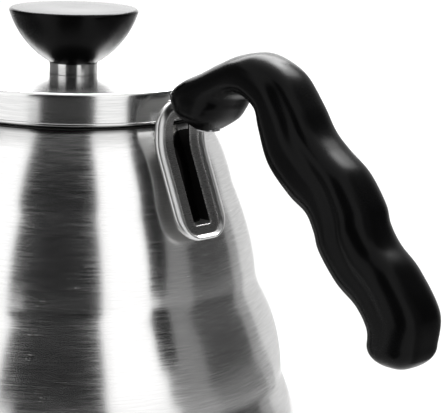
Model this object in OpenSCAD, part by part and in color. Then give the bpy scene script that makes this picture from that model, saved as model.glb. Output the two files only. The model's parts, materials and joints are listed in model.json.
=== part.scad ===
// Stovetop gooseneck kettle with a lift-off lid, a turned knob and a moulded grip on a pressed bracket.
// Millimetres, +Z up. The origin is on the table, on the body's axis.
// The grip points to +X and the spout to -X.

/* [Body] */
// Height of the lowest tier, from the table to its crease
lower_tier_h = 35; // [32:0.5:40]
// Height of the middle tier
middle_tier_h = 31.5; // [28:0.5:36]
// Height of the upper tier
upper_tier_h = 29; // [26:0.5:32]
// Height of the shoulder, up to the mouth
shoulder_h = 21.5; // [20:0.5:24]
// Widest diameter, near the base
belly_d = 144; // [140:1:150]
// Height of the widest place
belly_h = 14.5; // [13:0.5:18]
// Diameter at the lowest crease
lower_crease_d = 131.5; // [128:0.5:135]
// Diameter at the middle crease
middle_crease_d = 114; // [111:0.5:117]
// Diameter at the upper crease
upper_crease_d = 99; // [97:0.5:101]
// Diameter of the seat where the lid lies
seat_d = 82; // [78:0.5:84]
// Thickness of the body's sheet
wall = 0.8; // [0.6:0.1:1.2]
// Width of the seat, from the mouth to its outer edge
seat_w = 4; // [3.5:0.1:5]
// Depth of the mouth ring's throat
throat_h = 6; // [4:0.5:7]

/* [Base] */
// Diameter of the heating base
base_d = 116; // [108:1:122]
// Thickness of the heating base
base_h = 4.5; // [3.5:0.25:6]
// Thickness of the base cap's sheet
base_sheet = 0.6; // [0.5:0.1:1]

/* [Lid] */
// Height of the lid's skirt
skirt_h = 9.6; // [7:0.1:12]
// Rise of the lid's top from its edge to its centre
lid_rise = 0.2; // [0.1:0.1:1.5]
// Thickness of the lid's sheet
lid_sheet = 0.8; // [0.6:0.1:1.2]
// Gap between the skirt and the mouth ring
lid_gap = 0.4; // [0.3:0.1:0.8]
// Radius on the lid's top edge
lid_edge_r = 1; // [0.9:0.1:2]
// Depth to which the collar hangs in the mouth
collar_h = 9; // [7:0.5:12]
// Play of the collar in the mouth, on each side
collar_play = 0.4; // [0.3:0.1:0.8]
// Diameter of a steam hole
vent_d = 2.4; // [1.5:0.1:3]
// Distance of the steam holes from the axis
vent_at = 26; // [20:1:30]

/* [Knob] */
// Diameter of the knob's flat top
knob_d = 38.6; // [34:0.2:44]
// Height of the knob
knob_h = 16.2; // [14:0.2:20]
// Diameter of the knob's foot
knob_foot_d = 15; // [13:0.5:17]
// Swell of the knob's side, out from a straight cone
knob_swell = 1.8; // [1:0.1:2.2]
// Diameter of the steel stem
stem_d = 14.4; // [12:0.2:15]
// Height of the steel stem
stem_h = 3.4; // [2:0.2:8]
// Diameter of both screws
screw_d = 4; // [3:0.5:5]

/* [Spout] */
// Height of the spout's root above the table
spout_z = 37; // [34:0.5:40]
// Diameter of the spout at its root
spout_root_d = 32; // [28:1:34]
// Diameter of the spout at its tip
spout_tip_d = 10; // [9:0.5:13]
// Thickness of the spout's sheet
spout_wall = 0.9; // [0.7:0.1:1.2]
// Radius of the spout's lower bend
low_bend_r = 30; // [27:1:36]
// Straight length between the bends
neck_l = 34; // [20:1:44]
// Radius of the spout's upper bend
high_bend_r = 30; // [22:1:36]
// Straight length at the tip
tip_l = 9; // [5:1:14]

/* [Bracket] */
// Width of the bracket
bracket_w = 19.4; // [18:0.2:22]
// Height of the bracket's top above the mouth
bracket_rise = 8; // [7:0.5:9]
// Depth of the bracket's foot below the mouth
bracket_drop = 31; // [28:0.5:33]
// Distance of the bracket's upper face from the lid seat
bracket_out = 6.6; // [6:0.1:7.4]
// Distance of the bracket's foot from the body
foot_out = 5.6; // [5:0.1:6.4]
// Thickness of the bracket's sheet
bracket_sheet = 1.2; // [0.9:0.1:1.4]
// Depth of the pressed recess
recess = 1; // [0.6:0.1:1.4]
// Width of the slot
slot_w = 6.6; // [5:0.2:7.4]
// Width of the tongue that holds the grip
tongue_w = 9; // [8:0.2:11]

/* [Grip] */
// Reach of the grip, from its nose to its tip
grip_reach = 84; // [78:1:92]
// Height of the grip, from its tip to its crown
grip_drop = 78; // [72:1:84]
// Width of the grip
grip_w = 20; // [18:0.5:23]

/* [Hidden] */
$fn = 96;

steel = [0.78, 0.78, 0.79];
polished = [0.88, 0.88, 0.89];
aluminium = [0.7, 0.71, 0.73];
brass = [0.78, 0.62, 0.3];
black = [0.08, 0.08, 0.085];

touch = 0.02;      // space left between faces that meet
cut = 1;           // how far a cutter runs past a face
big = 200;         // longer than any part

// ---- Body: radii and heights of the tiers, from the seat down to the belly
mouth_z = lower_tier_h + middle_tier_h + upper_tier_h + shoulder_h;
mouth_d = seat_d - 2 * seat_w;
ring_sheet = 0.8;
shell_top = mouth_z - ring_sheet;
tier_r = [seat_d, upper_crease_d, middle_crease_d, lower_crease_d, belly_d] / 2;
tier_z = [
    shell_top, mouth_z - shoulder_h, lower_tier_h + middle_tier_h, lower_tier_h, belly_h
];
tier_swell = [0.9, 1.4, 2, 0.9];
tier_steps = 8;
corner_r = belly_h - base_h;
corner_steps = 8;
floor_in = 2;       // how far the floor's edge lies inside the corner
floor_r = belly_d / 2 - corner_r - floor_in;

function tier_of(z) = z > tier_z[1] ? 0 : z > tier_z[2] ? 1 : z > tier_z[3] ? 2 : 3;
function tier_at(k, t) =
    tier_r[k] + (tier_r[k + 1] - tier_r[k]) * t + 4 * tier_swell[k] * t * (1 - t);
function body_r(z) =
    let (k = tier_of(z)) tier_at(k, (tier_z[k] - z) / (tier_z[k] - tier_z[k + 1]));
function tier_points(k, inward) = [
    for (i = [0 : tier_steps - 1])
        let (t = i / tier_steps)
            [tier_at(k, t) - inward, tier_z[k] + (tier_z[k + 1] - tier_z[k]) * t]
];
function corner_points(inward) = [
    for (i = [0 : corner_steps])
        let (a = 90 * i / corner_steps)
            [
                belly_d / 2 - corner_r + (corner_r - inward) * cos(a),
                base_h + corner_r - (corner_r - inward) * sin(a)
            ]
];
function body_side(inward) = concat(
    tier_points(0, inward), tier_points(1, inward), tier_points(2, inward),
    tier_points(3, inward), corner_points(inward)
);

module body_solid(inward, top) {
    side = body_side(inward);
    rotate_extrude()
        polygon(concat([[0, top], [side[0][0], top]], side, [[0, base_h + inward]]));
}

module spout_axis() {
    translate([-root_x, 0, spout_z]) rotate([0, root_tilt - 90, 0]) children();
}

// The wall, open at both ends
module body_shell() {
    color(steel) difference() {
        body_solid(0, shell_top);
        body_solid(wall, shell_top + cut);
        cylinder(r = floor_r, h = base_h + wall + cut);
        spout_axis() cylinder(d = spout_root_d - 2 * spout_wall - root_edge, h = root_l);
    }
}

// The floor plate, let into the wall's turned-in foot
module body_floor() {
    color(steel) translate([0, 0, base_h]) cylinder(r = floor_r - touch, h = wall);
}

module mouth_ring() {
    color(polished) rotate_extrude() polygon([
        [mouth_d / 2, mouth_z], [seat_d / 2, mouth_z], [seat_d / 2, shell_top],
        [mouth_d / 2 + ring_sheet, shell_top], [mouth_d / 2 + ring_sheet, mouth_z - throat_h],
        [mouth_d / 2, mouth_z - throat_h]
    ]);
}

// ---- Base: an aluminium heat spreader under the body, held by a steel cap
module base_core() {
    color(aluminium) translate([0, 0, base_sheet + touch])
        cylinder(d = base_d - 2 * base_sheet - 2 * touch, h = base_h - base_sheet - 2 * touch);
}

module base_cap() {
    color(steel) difference() {
        cylinder(d = base_d, h = base_h - touch);
        translate([0, 0, base_sheet]) cylinder(d = base_d - 2 * base_sheet, h = base_h);
    }
}

// ---- Spout: a tube swept along two bends, thinning to its tip
root_tilt = 15;     // the root's rise above level
neck_tilt = 84;     // the neck's rise between the bends
tip_tilt = 8;       // the tip's rise above level
root_in = 9;        // how deep the sweep starts inside the body, before it is trimmed
root_l = 40;        // length of the straight cutters at the root
root_edge = 1;      // how much smaller the hole in the body is than the tube's bore
thinning = 2.6;     // how fast the tube thins near its root
spout_sides = 28;
bend_steps = 13;
straight_l = 14;    // straight length at the root
root_x = body_r(spout_z) - root_in;

function bend_step(p, a0, a1, r, t) =
    let (a = a0 + (a1 - a0) * t, s = sign(a1 - a0))
        p + s * r * [sin(a) - sin(a0), cos(a0) - cos(a)];
function heading(a) = [cos(a), sin(a)];
root_p = [root_x, spout_z];
low_p = root_p + straight_l * heading(root_tilt);
neck_p = bend_step(low_p, root_tilt, neck_tilt, low_bend_r, 1);
high_p = neck_p + neck_l * heading(neck_tilt);
tip_p = bend_step(high_p, neck_tilt, tip_tilt, high_bend_r, 1);
low_arc = low_bend_r * (neck_tilt - root_tilt) * PI / 180;
high_arc = high_bend_r * (neck_tilt - tip_tilt) * PI / 180;
spout_l = straight_l + low_arc + neck_l + high_arc + tip_l;

// Each station holds [place, heading, distance along the spout]
spout_stations = concat(
    [for (i = [0 : 3]) let (s = straight_l * i / 4) [root_p + s * heading(root_tilt), root_tilt, s]],
    [for (i = [0 : bend_steps - 1]) let (t = i / bend_steps) [
        bend_step(low_p, root_tilt, neck_tilt, low_bend_r, t),
        root_tilt + (neck_tilt - root_tilt) * t, straight_l + low_arc * t]],
    [for (i = [0 : 3]) let (t = i / 4) [
        neck_p + neck_l * t * heading(neck_tilt), neck_tilt, straight_l + low_arc + neck_l * t]],
    [for (i = [0 : bend_steps - 1]) let (t = i / bend_steps) [
        bend_step(high_p, neck_tilt, tip_tilt, high_bend_r, t),
        neck_tilt + (tip_tilt - neck_tilt) * t, straight_l + low_arc + neck_l + high_arc * t]],
    [for (i = [0 : 2]) let (t = i / 2) [
        tip_p + tip_l * t * heading(tip_tilt), tip_tilt, spout_l - tip_l * (1 - t)]]
);

function spout_r(s) =
    let (t = max(0, s - straight_l) / (spout_l - straight_l))
        spout_tip_d / 2 + (spout_root_d - spout_tip_d) / 2 * pow(1 - t, thinning);
function spout_ring(station, inward) = [
    for (k = [0 : spout_sides - 1])
        let (
            b = 360 * k / spout_sides,
            r = spout_r(station[2]) - inward,
            out = station[0][0] - r * cos(b) * sin(station[1]),
            up = station[0][1] + r * cos(b) * cos(station[1])
        ) [-out, r * sin(b), up]
];

// A closed tube: outer rings going out, inner rings coming back, and the ring joined to itself
module tube(rings) {
    sides = len(rings[0]);
    count = len(rings);
    points = [for (ring = rings) for (p = ring) p];
    faces = [
        for (i = [0 : count - 1]) for (k = [0 : sides - 1])
            let (a = i * sides, b = ((i + 1) % count) * sides, m = (k + 1) % sides)
                each [[a + k, b + m, a + m], [a + k, b + k, b + m]]
    ];
    polyhedron(points, faces);
}

module spout_neck() {
    last = len(spout_stations) - 1;
    rings = concat(
        [for (i = [0 : last]) spout_ring(spout_stations[i], 0)],
        [for (i = [last : -1 : 0]) spout_ring(spout_stations[i], spout_wall)]
    );
    color(steel) difference() {
        tube(rings);
        body_solid(-touch, shell_top);
    }
}

// A flange, welded to the body around the spout's root
collar_w = 3.5;
collar_sheet = 1;
module spout_collar() {
    color(steel) difference() {
        intersection() {
            spout_axis() cylinder(r = spout_root_d / 2 + collar_w, h = root_l);
            body_solid(-collar_sheet, shell_top);
        }
        body_solid(-touch, shell_top);
        spout_axis() translate([0, 0, -root_l]) cylinder(r = spout_root_d / 2 + touch, h = 2 * root_l);
    }
}

// ---- Bracket: a pressed plate, upright at the top and leaning along the body below.
// The walls of its slot turn back to the body, where they are welded.
knee_drop = 5;          // depth of the bend below the mouth
low_margin = 4;         // from the foot to the slot
high_margin = 5.3;      // from the slot to the top
upper_x = seat_d / 2 + bracket_out;
foot_z = mouth_z - bracket_drop;
knee_z = mouth_z - knee_drop;
top_z = mouth_z + bracket_rise;
foot_x = body_r(foot_z) + foot_out;
rim_w = 3.3;            // width of the raised rim at the sides and the top
foot_rim_w = 1.5;       // and at the foot
slot_low = foot_z + low_margin;
slot_high = top_z - high_margin;
low_corner = 7;
high_corner = 8;
slot_low_corner = 0.6;
slot_high_corner = 1.4;
slot_wall = 0.9;
slot_depth = [9, 4.6, 1.8];     // depth of the slot's walls at the foot, the knee and the top

// The plate's side view between two depths behind its front face
module plate_band(front, backs) {
    drop = 12;
    lean = (foot_x - upper_x) / (knee_z - foot_z);
    rotate([90, 0, 0]) linear_extrude(height = big, center = true) polygon([
        [upper_x - front, top_z + drop], [upper_x - front, knee_z],
        [foot_x + lean * drop - front, foot_z - drop], [foot_x + lean * drop - backs[0], foot_z - drop],
        [foot_x - backs[0], foot_z], [upper_x - backs[1], knee_z], [upper_x - backs[2], top_z],
        [upper_x - backs[2], top_z + drop]
    ]);
}

// An upright plate with round corners, cut through everything along X
module front_plate(w, low, high, low_r, high_r) {
    rotate([90, 0, 90]) linear_extrude(height = big) {
        translate([-w / 2, low + low_r]) square([w, high - low - low_r - high_r]);
        translate([low_r - w / 2, low]) square([w - 2 * low_r, low_r + cut]);
        translate([high_r - w / 2, high - high_r - cut]) square([w - 2 * high_r, high_r + cut]);
        for (side = [-1, 1]) {
            translate([side * (w / 2 - low_r), low + low_r]) circle(r = low_r);
            translate([side * (w / 2 - high_r), high - high_r]) circle(r = high_r);
        }
    }
}

tongue_at = 9.4;        // the tongue's hole, out from the bracket's face
tongue_hole_x = upper_x + tongue_at;
tongue_l = 15;

module handle_bracket() {
    deep = recess + bracket_sheet;
    color(polished) difference() {
        union() {
            intersection() {
                plate_band(0, [deep, deep, deep]);
                front_plate(bracket_w, foot_z, top_z, low_corner, high_corner);
            }
            intersection() {
                plate_band(recess, slot_depth);
                front_plate(
                    slot_w + 2 * slot_wall, slot_low - slot_wall, slot_high + slot_wall,
                    slot_low_corner + slot_wall, slot_high_corner + slot_wall);
            }
            translate([upper_x - deep, -tongue_w / 2, top_z - bracket_sheet])
                cube([tongue_l + deep, tongue_w, bracket_sheet]);
        }
        intersection() {
            plate_band(-cut, [recess, recess, recess]);
            front_plate(
                bracket_w - 2 * rim_w, foot_z + foot_rim_w, top_z - rim_w,
                low_corner - rim_w, high_corner - rim_w);
        }
        front_plate(slot_w, slot_low, slot_high, slot_low_corner, slot_high_corner);
        translate([tongue_hole_x, 0, top_z - 2 * bracket_sheet])
            cylinder(r = hole_r, h = 3 * bracket_sheet);
        body_solid(-touch, shell_top);
    }
}

// ---- Fasteners, shared by the grip and the knob
hole_r = screw_d / 2 + 0.2;
head_r = screw_d * 0.9;
head_h = screw_d * 0.6;
head_play = 0.4;
washer_h = 0.8;
insert_wall = 1;
insert_r = screw_d / 2 + touch + insert_wall;

module screw(shank_l) {
    cylinder(d = screw_d, h = shank_l);
    translate([0, 0, -head_h]) difference() {
        cylinder(r = head_r, h = head_h);
        for (turn = [0, 90]) rotate([0, 0, turn])
            translate([-screw_d / 2, -screw_d / 10, -cut])
                cube([screw_d, screw_d / 5, head_h / 2 + cut]);
    }
}

module ring_of(outer_r, inner_r, h) {
    difference() {
        cylinder(r = outer_r, h = h);
        translate([0, 0, -cut]) cylinder(r = inner_r, h = h + 2 * cut);
    }
}

// ---- Grip: a moulded bar with three lobes, hooked over the bracket
// Each row is a section: outer edge [out, up], inner edge [out, up], share of the width.
// The edges are measured from the tongue's hole and the mouth's height.
grip_rows = [
    [-2.5, 1.2, 3, 0.8, 0.4],
    [-7.3, 4.9, 7.5, 4, 0.9],
    [-9.8, 8.2, 10.4, 7.4, 1],
    [-10.2, 11.3, 12, 9.8, 1],
    [-5.6, 14.8, 13, 11.2, 1],
    [1.4, 18, 14.2, 12, 1],
    [8.4, 21.6, 15.6, 12.6, 1],
    [15.2, 24.4, 17.4, 12.6, 1],
    [22.2, 25, 20, 11.6, 1],
    [31.6, 21, 23.4, 8.8, 1],
    [38.8, 13, 24.2, 4.2, 1],
    [43.3, 6.7, 28, -5, 1],
    [47.9, 2.6, 36, -12.5, 1],
    [55.3, -2.7, 42.3, -16.4, 1],
    [61.6, -10.6, 45, -20.7, 1],
    [63.6, -15.8, 47.2, -25.8, 1],
    [67, -20.4, 54, -33.4, 1],
    [73.6, -26, 61, -38.2, 1],
    [81.4, -36.8, 65, -42.6, 1],
    [80.8, -47.4, 64.2, -46.8, 0.94],
    [78, -51, 68.6, -51.8, 0.6]
];
row_steps = 4;
grip_sides = 28;
squareness = 2.5;
// The rows are written for a reach of 84 and a drop of 78
out_scale = grip_reach / 84;
up_scale = grip_drop / 78;

// A smooth curve through b and c, at t of the way between them
function between(a, b, c, d, t) =
    let (square = 2 * a - 5 * b + 4 * c - d, cube = 3 * b - a - 3 * c + d)
        (2 * b + ((c - a) + (square + cube * t) * t) * t) / 2;
function grip_row(i) = grip_rows[max(0, min(len(grip_rows) - 1, i))];
grip_stations = concat(
    [for (i = [0 : len(grip_rows) - 2]) for (j = [0 : row_steps - 1])
        between(grip_row(i - 1), grip_row(i), grip_row(i + 1), grip_row(i + 2), j / row_steps)],
    [grip_rows[len(grip_rows) - 1]]
);

function rounder(v) = sign(v) * pow(abs(v), 2 / squareness);
function grip_ring(row) = [
    for (k = [0 : grip_sides - 1])
        let (
            b = 360 * k / grip_sides,
            share = (1 + rounder(cos(b))) / 2,
            out = row[2] + (row[0] - row[2]) * share,
            up = row[3] + (row[1] - row[3]) * share
        ) [
            tongue_hole_x + out * out_scale,
            rounder(sin(b)) * row[4] * grip_w / 2,
            mouth_z + up * up_scale
        ]
];

// A closed bar: rings joined along it and a flat fan at each end
module bar(rings) {
    sides = len(rings[0]);
    last = len(rings) - 1;
    points = [for (ring = rings) for (p = ring) p];
    skin = [
        for (i = [0 : last - 1]) for (k = [0 : sides - 1])
            let (a = i * sides, b = a + sides, m = (k + 1) % sides)
                each [[a + k, b + m, b + k], [a + k, a + m, b + m]]
    ];
    polyhedron(points, concat(
        skin, [[for (k = [sides - 1 : -1 : 0]) k]], [[for (k = [0 : sides - 1]) last * sides + k]]));
}

bore_play = 0.15;
head_rise = 3.9;                    // from the mouth's height to where the washer bears
head_z = mouth_z + head_rise;
grip_insert_z = top_z + bore_play + touch;
grip_insert_l = 7;

module handle_grip() {
    color(black) difference() {
        bar([for (row = grip_stations) grip_ring(row)]);
        translate([upper_x - big, -big / 2, mouth_z - cut])
            cube([big + touch, big, top_z - mouth_z + cut + touch]);
        translate([upper_x - cut, -tongue_w / 2 - bore_play, top_z - bracket_sheet - bore_play])
            cube([tongue_l + cut + bore_play, tongue_w + 2 * bore_play, bracket_sheet + 2 * bore_play]);
        translate([tongue_hole_x, 0, mouth_z - cut]) {
            cylinder(r = head_r + head_play, h = head_z - mouth_z + cut);
            cylinder(r = hole_r, h = grip_insert_z - mouth_z + cut + touch);
        }
        translate([tongue_hole_x, 0, grip_insert_z])
            cylinder(r = insert_r + touch, h = grip_insert_l + touch);
    }
}

module handle_insert() {
    color(brass) translate([tongue_hole_x, 0, grip_insert_z])
        ring_of(insert_r, screw_d / 2 + touch, grip_insert_l);
}

module handle_washer() {
    color(steel) translate([tongue_hole_x, 0, head_z - washer_h - touch])
        ring_of(head_r + head_play / 2, hole_r, washer_h);
}

module handle_screw() {
    seat = head_z - washer_h - 2 * touch;
    color(steel) translate([tongue_hole_x, 0, seat]) screw(grip_insert_z + grip_insert_l - 1 - seat);
}

// ---- Lid: a cover with a steel collar that hangs in the mouth
skirt_z = mouth_z + lid_gap;
edge_z = skirt_z + skirt_h;
lid_r = seat_d / 2;
under_z = edge_z - lid_sheet;
top_z_centre = edge_z + lid_rise;
vent_turn = 138;        // the holes' direction, seen from above
vent_gap = 12;          // turn between one hole and the next
dome_steps = 5;

module lid_cover() {
    flat_r = lid_r - lid_edge_r;
    edge_centre = [flat_r, edge_z - lid_edge_r];
    through = lid_sheet + lid_rise + 2 * cut;
    color(steel) difference() {
        rotate_extrude() polygon(concat(
            [for (i = [0 : dome_steps]) let (t = i / dome_steps)
                [flat_r * t, edge_z + lid_rise * (1 - t * t)]],
            [for (a = [75 : -15 : 0]) edge_centre + lid_edge_r * [cos(a), sin(a)]],
            [
                [lid_r, skirt_z], [lid_r - lid_sheet, skirt_z],
                [lid_r - lid_sheet, under_z], [0, under_z]
            ]
        ));
        translate([0, 0, under_z - cut]) cylinder(r = hole_r, h = through);
        for (k = [-1 : 1]) rotate([0, 0, vent_turn + k * vent_gap])
            translate([vent_at, 0, under_z - cut]) cylinder(d = vent_d, h = through);
    }
}

// The collar's flange lies under the cover
module lid_collar() {
    sheet = 0.6;
    outer_r = mouth_d / 2 - collar_play;
    flange_r = lid_r - lid_sheet - touch;
    flange_z = under_z - touch;
    color(polished) rotate_extrude() polygon([
        [outer_r - sheet, mouth_z - collar_h], [outer_r, mouth_z - collar_h],
        [outer_r, flange_z - sheet], [flange_r, flange_z - sheet],
        [flange_r, flange_z], [outer_r - sheet, flange_z]
    ]);
}

// ---- Knob: a turned bowl on a steel stem, screwed on from under the lid
knob_z = top_z_centre + stem_h;
knob_top = knob_z + knob_h;
knob_edge_r = 0.9;
knob_steps = 10;
knob_insert_l = 9;
knob_washer_r = head_r + 2;

module knob_stem() {
    color(polished) translate([0, 0, top_z_centre + touch])
        ring_of(stem_d / 2, hole_r, stem_h - 2 * touch);
}

// The side bows out between the foot and the rim
function knob_side(t) =
    let (
        foot = [knob_foot_d / 2, knob_z],
        rim = [knob_d / 2, knob_top - knob_edge_r],
        along = rim - foot,
        across = [along[1], -along[0]] / norm(along)
    ) foot + along * t + across * 4 * knob_swell * t * (1 - t);

module knob() {
    edge_centre = [knob_d / 2 - knob_edge_r, knob_top - knob_edge_r];
    color(black) difference() {
        rotate_extrude() polygon(concat(
            [[0, knob_z]],
            [for (i = [0 : knob_steps]) knob_side(i / knob_steps)],
            [for (a = [30 : 30 : 90]) edge_centre + knob_edge_r * [cos(a), sin(a)]],
            [[0, knob_top]]
        ));
        translate([0, 0, knob_z - cut])
            cylinder(r = insert_r + touch, h = knob_insert_l + touch + cut);
    }
}

module knob_insert() {
    color(brass) translate([0, 0, knob_z + touch])
        ring_of(insert_r, screw_d / 2 + touch, knob_insert_l - touch);
}

module knob_washer() {
    color(steel) translate([0, 0, under_z - washer_h - touch])
        ring_of(knob_washer_r, hole_r, washer_h);
}

module knob_screw() {
    seat = under_z - washer_h - 2 * touch;
    color(steel) translate([0, 0, seat]) screw(knob_z + knob_insert_l - 1 - seat);
}

body_shell();
body_floor();
mouth_ring();
base_core();
base_cap();
spout_neck();
spout_collar();
handle_bracket();
handle_grip();
handle_insert();
handle_washer();
handle_screw();
lid_cover();
lid_collar();
knob_stem();
knob();
knob_insert();
knob_washer();
knob_screw();
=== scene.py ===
import json
import math

import bpy
from mathutils import Euler, Matrix, Vector


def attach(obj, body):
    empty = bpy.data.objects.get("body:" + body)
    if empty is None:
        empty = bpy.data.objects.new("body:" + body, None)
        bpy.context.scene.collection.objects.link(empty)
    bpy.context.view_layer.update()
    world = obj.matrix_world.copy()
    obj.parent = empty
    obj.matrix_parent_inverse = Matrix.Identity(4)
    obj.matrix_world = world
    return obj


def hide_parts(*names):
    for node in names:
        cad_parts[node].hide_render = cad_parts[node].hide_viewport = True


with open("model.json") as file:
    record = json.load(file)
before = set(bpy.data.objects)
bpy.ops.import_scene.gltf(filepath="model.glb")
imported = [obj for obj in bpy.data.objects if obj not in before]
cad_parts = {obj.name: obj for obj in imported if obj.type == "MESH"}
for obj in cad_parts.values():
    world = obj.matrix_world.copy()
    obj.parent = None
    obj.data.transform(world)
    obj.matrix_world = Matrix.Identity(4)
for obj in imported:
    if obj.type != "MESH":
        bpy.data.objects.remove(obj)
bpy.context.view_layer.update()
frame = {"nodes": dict(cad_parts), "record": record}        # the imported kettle: bodies "kettle" and "lid"
nodes = frame["nodes"]
print("frame loaded:", len(nodes), "nodes")

mm = 0.001               # every piece is worked out in millimetres
fineSides = 256          # round pieces that fill the picture
creaseAngle = 35         # degrees from which an edge is shaded sharp


# meshes

def addMesh(name, points, faces, sharp=creaseAngle):
    mesh = bpy.data.meshes.new(name)
    mesh.from_pydata([[c * mm for c in p] for p in points], [], faces)
    mesh.validate()
    mesh.shade_smooth()
    mesh.set_sharp_from_angle(angle=math.radians(sharp))
    piece = bpy.data.objects.new(name, mesh)
    bpy.context.scene.collection.objects.link(piece)
    return piece


def turned(name, side, sides=192, sharp=creaseAngle):
    # side is a closed outline of (radius, height); a radius of 0 is one point on the axis
    points, rows = [], []
    for radius, height in side:
        if radius < 1e-6:
            rows.append([len(points)] * sides)
            points.append((0, 0, height))
            continue
        rows.append(range(len(points), len(points) + sides))
        for k in range(sides):
            turn = math.tau * k / sides
            points.append((radius * math.cos(turn), radius * math.sin(turn), height))
    faces = []
    for i, row in enumerate(rows):
        after = rows[(i + 1) % len(rows)]
        for k in range(sides):
            m = (k + 1) % sides
            face = list(dict.fromkeys((row[k], row[m], after[m], after[k])))
            if len(face) > 2:
                faces.append(face)
    return addMesh(name, points, faces, sharp)


def swept(name, rings, joined=False, sharp=creaseAngle):
    # rings of equal length, capped at both ends or joined last to first
    sides = len(rings[0])
    points = [p for ring in rings for p in ring]
    faces = []
    for i in range(len(rings) if joined else len(rings) - 1):
        a, b = i * sides, (i + 1) % len(rings) * sides
        for k in range(sides):
            m = (k + 1) % sides
            faces.append((a + k, a + m, b + m, b + k))
    if not joined:
        faces.append(tuple(reversed(range(sides))))
        faces.append(tuple(range(len(points) - sides, len(points))))
    return addMesh(name, points, faces, sharp)


def rounded(corners, steps=6):
    # corners are (x, y, radius) in order round a closed outline
    outline = []
    for i, (x, y, radius) in enumerate(corners):
        here = Vector((x, y))
        before = Vector(corners[i - 1][:2]) - here
        after = Vector(corners[(i + 1) % len(corners)][:2]) - here
        if radius <= 0:
            outline.append((x, y))
            continue
        angle = before.angle(after)
        back = radius / math.tan(angle / 2)
        start, end = here + before.normalized() * back, here + after.normalized() * back
        halfway = (before.normalized() + after.normalized()).normalized()
        centre = here + halfway * radius / math.sin(angle / 2)
        for k in range(steps + 1):
            arm = (start - centre).lerp(end - centre, k / steps).normalized() * radius
            outline.append(tuple(centre + arm))
    return outline


def cutAway(piece, cutters):
    for cutter in cutters:
        step = piece.modifiers.new("cut", "BOOLEAN")
        step.object = cutter
        step.operation = "DIFFERENCE"
        step.solver = "EXACT"
    cut = piece.evaluated_get(bpy.context.evaluated_depsgraph_get())
    shaped = bpy.data.meshes.new_from_object(cut)
    piece.modifiers.clear()
    piece.data = shaped
    shaped.set_sharp_from_angle(angle=math.radians(creaseAngle))
    for cutter in cutters:
        bpy.data.objects.remove(cutter)


def rod(start, end, radius, sides=48):
    # a round cutter
    axis = (Vector(end) - Vector(start)).normalized()
    across = axis.orthogonal().normalized()
    up = axis.cross(across)
    turns = [math.tau * k / sides for k in range(sides)]
    arms = [(across * math.cos(turn) + up * math.sin(turn)) * radius for turn in turns]
    return swept("cutter", [[Vector(centre) + arm for arm in arms] for centre in (start, end)])


# materials

class Wire:              # a socket that can stand in a sum
    def __init__(self, paint, socket):
        self.paint = paint
        self.socket = socket

    def sum(self, operation, a, b):
        return self.paint.node("ShaderNodeMath", {"operation": operation}, {0: a, 1: b})

    def __add__(self, other):
        return self.sum("ADD", self, other)

    def __sub__(self, other):
        return self.sum("SUBTRACT", self, other)

    def __rsub__(self, other):
        return self.sum("SUBTRACT", other, self)

    def __mul__(self, other):
        return self.sum("MULTIPLY", self, other)

    def __truediv__(self, other):
        return self.sum("DIVIDE", self, other)

    def __pow__(self, other):
        return self.sum("POWER", self, other)

    __radd__ = __add__
    __rmul__ = __mul__


class Paint:             # one node tree, of a material or of the world
    def __init__(self, owner):
        owner.use_nodes = True
        self.owner = owner
        self.tree = owner.node_tree
        self.tree.nodes.clear()

    def node(self, kind, settings=None, sockets=None, output=0):
        made = self.tree.nodes.new(kind)
        for name, value in (settings or {}).items():
            setattr(made, name, value)
        for name, value in (sockets or {}).items():
            if isinstance(value, Wire):
                self.tree.links.new(value.socket, made.inputs[name])
            else:
                made.inputs[name].default_value = value
        return Wire(self, made.outputs[output]) if made.outputs else made

    def mixed(self, share, a, b):
        settings = {"data_type": "RGBA"}
        return self.node("ShaderNodeMix", settings, {0: share, 6: a, 7: b}, 2)

    def noise(self, place, scale, detail=2.0, roughness=0.5):
        sockets = {"Vector": place, "Scale": scale, "Detail": detail, "Roughness": roughness}
        return self.node("ShaderNodeTexNoise", {}, sockets, "Fac")

    def stretched(self, place, scale):
        settings = {"operation": "MULTIPLY"}
        return self.node("ShaderNodeVectorMath", settings, {0: place, 1: scale})

    def between(self, value, low, high, newLow=0.0, newHigh=1.0):
        settings = {"interpolation_type": "SMOOTHSTEP"}
        sockets = {
            "Value": value, "From Min": low, "From Max": high, "To Min": newLow, "To Max": newHigh}
        return self.node("ShaderNodeMapRange", settings, sockets)

    def objectPlace(self):
        return self.node("ShaderNodeTexCoord", {}, {}, "Object")

    def along(self, place, axis):
        return self.node("ShaderNodeSeparateXYZ", {}, {0: place}, axis)

    def relief(self, height, strength, depth):
        sockets = {"Strength": strength, "Distance": depth, "Height": height}
        return self.node("ShaderNodeBump", {}, sockets, "Normal")

    def finish(self, sockets):
        shader = self.node("ShaderNodeBsdfPrincipled", {}, sockets)
        self.node("ShaderNodeOutputMaterial", {}, {"Surface": shader})
        return self.owner


def newPaint(name):
    return Paint(bpy.data.materials.new(name))


def roundAxis(paint, arc, lines, share):
    # places for lines that run round the upright axis: arc sets their length, lines their pitch
    place = paint.objectPlace()
    x, y, z = (paint.along(place, axis) for axis in "XYZ")
    radius = (x * x + y * y) ** 0.5 + 0.0001      # never 0 on the axis
    across = (z - radius * share) * lines
    sockets = {"X": x / radius * arc, "Y": y / radius * arc, "Z": across}
    return paint.node("ShaderNodeCombineXYZ", {}, sockets)


def tinted(colour, share):
    return [c * share for c in colour[:3]] + [1]


# in metres, as shader places are: from where to where each side of the painted shade behind the slot fades
slotPaintedShade = {"aside": (0.0033, 0.0042), "fromX": (0.03, 0.034), "fromZ": (0.0885, 0.0895)}


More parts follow.
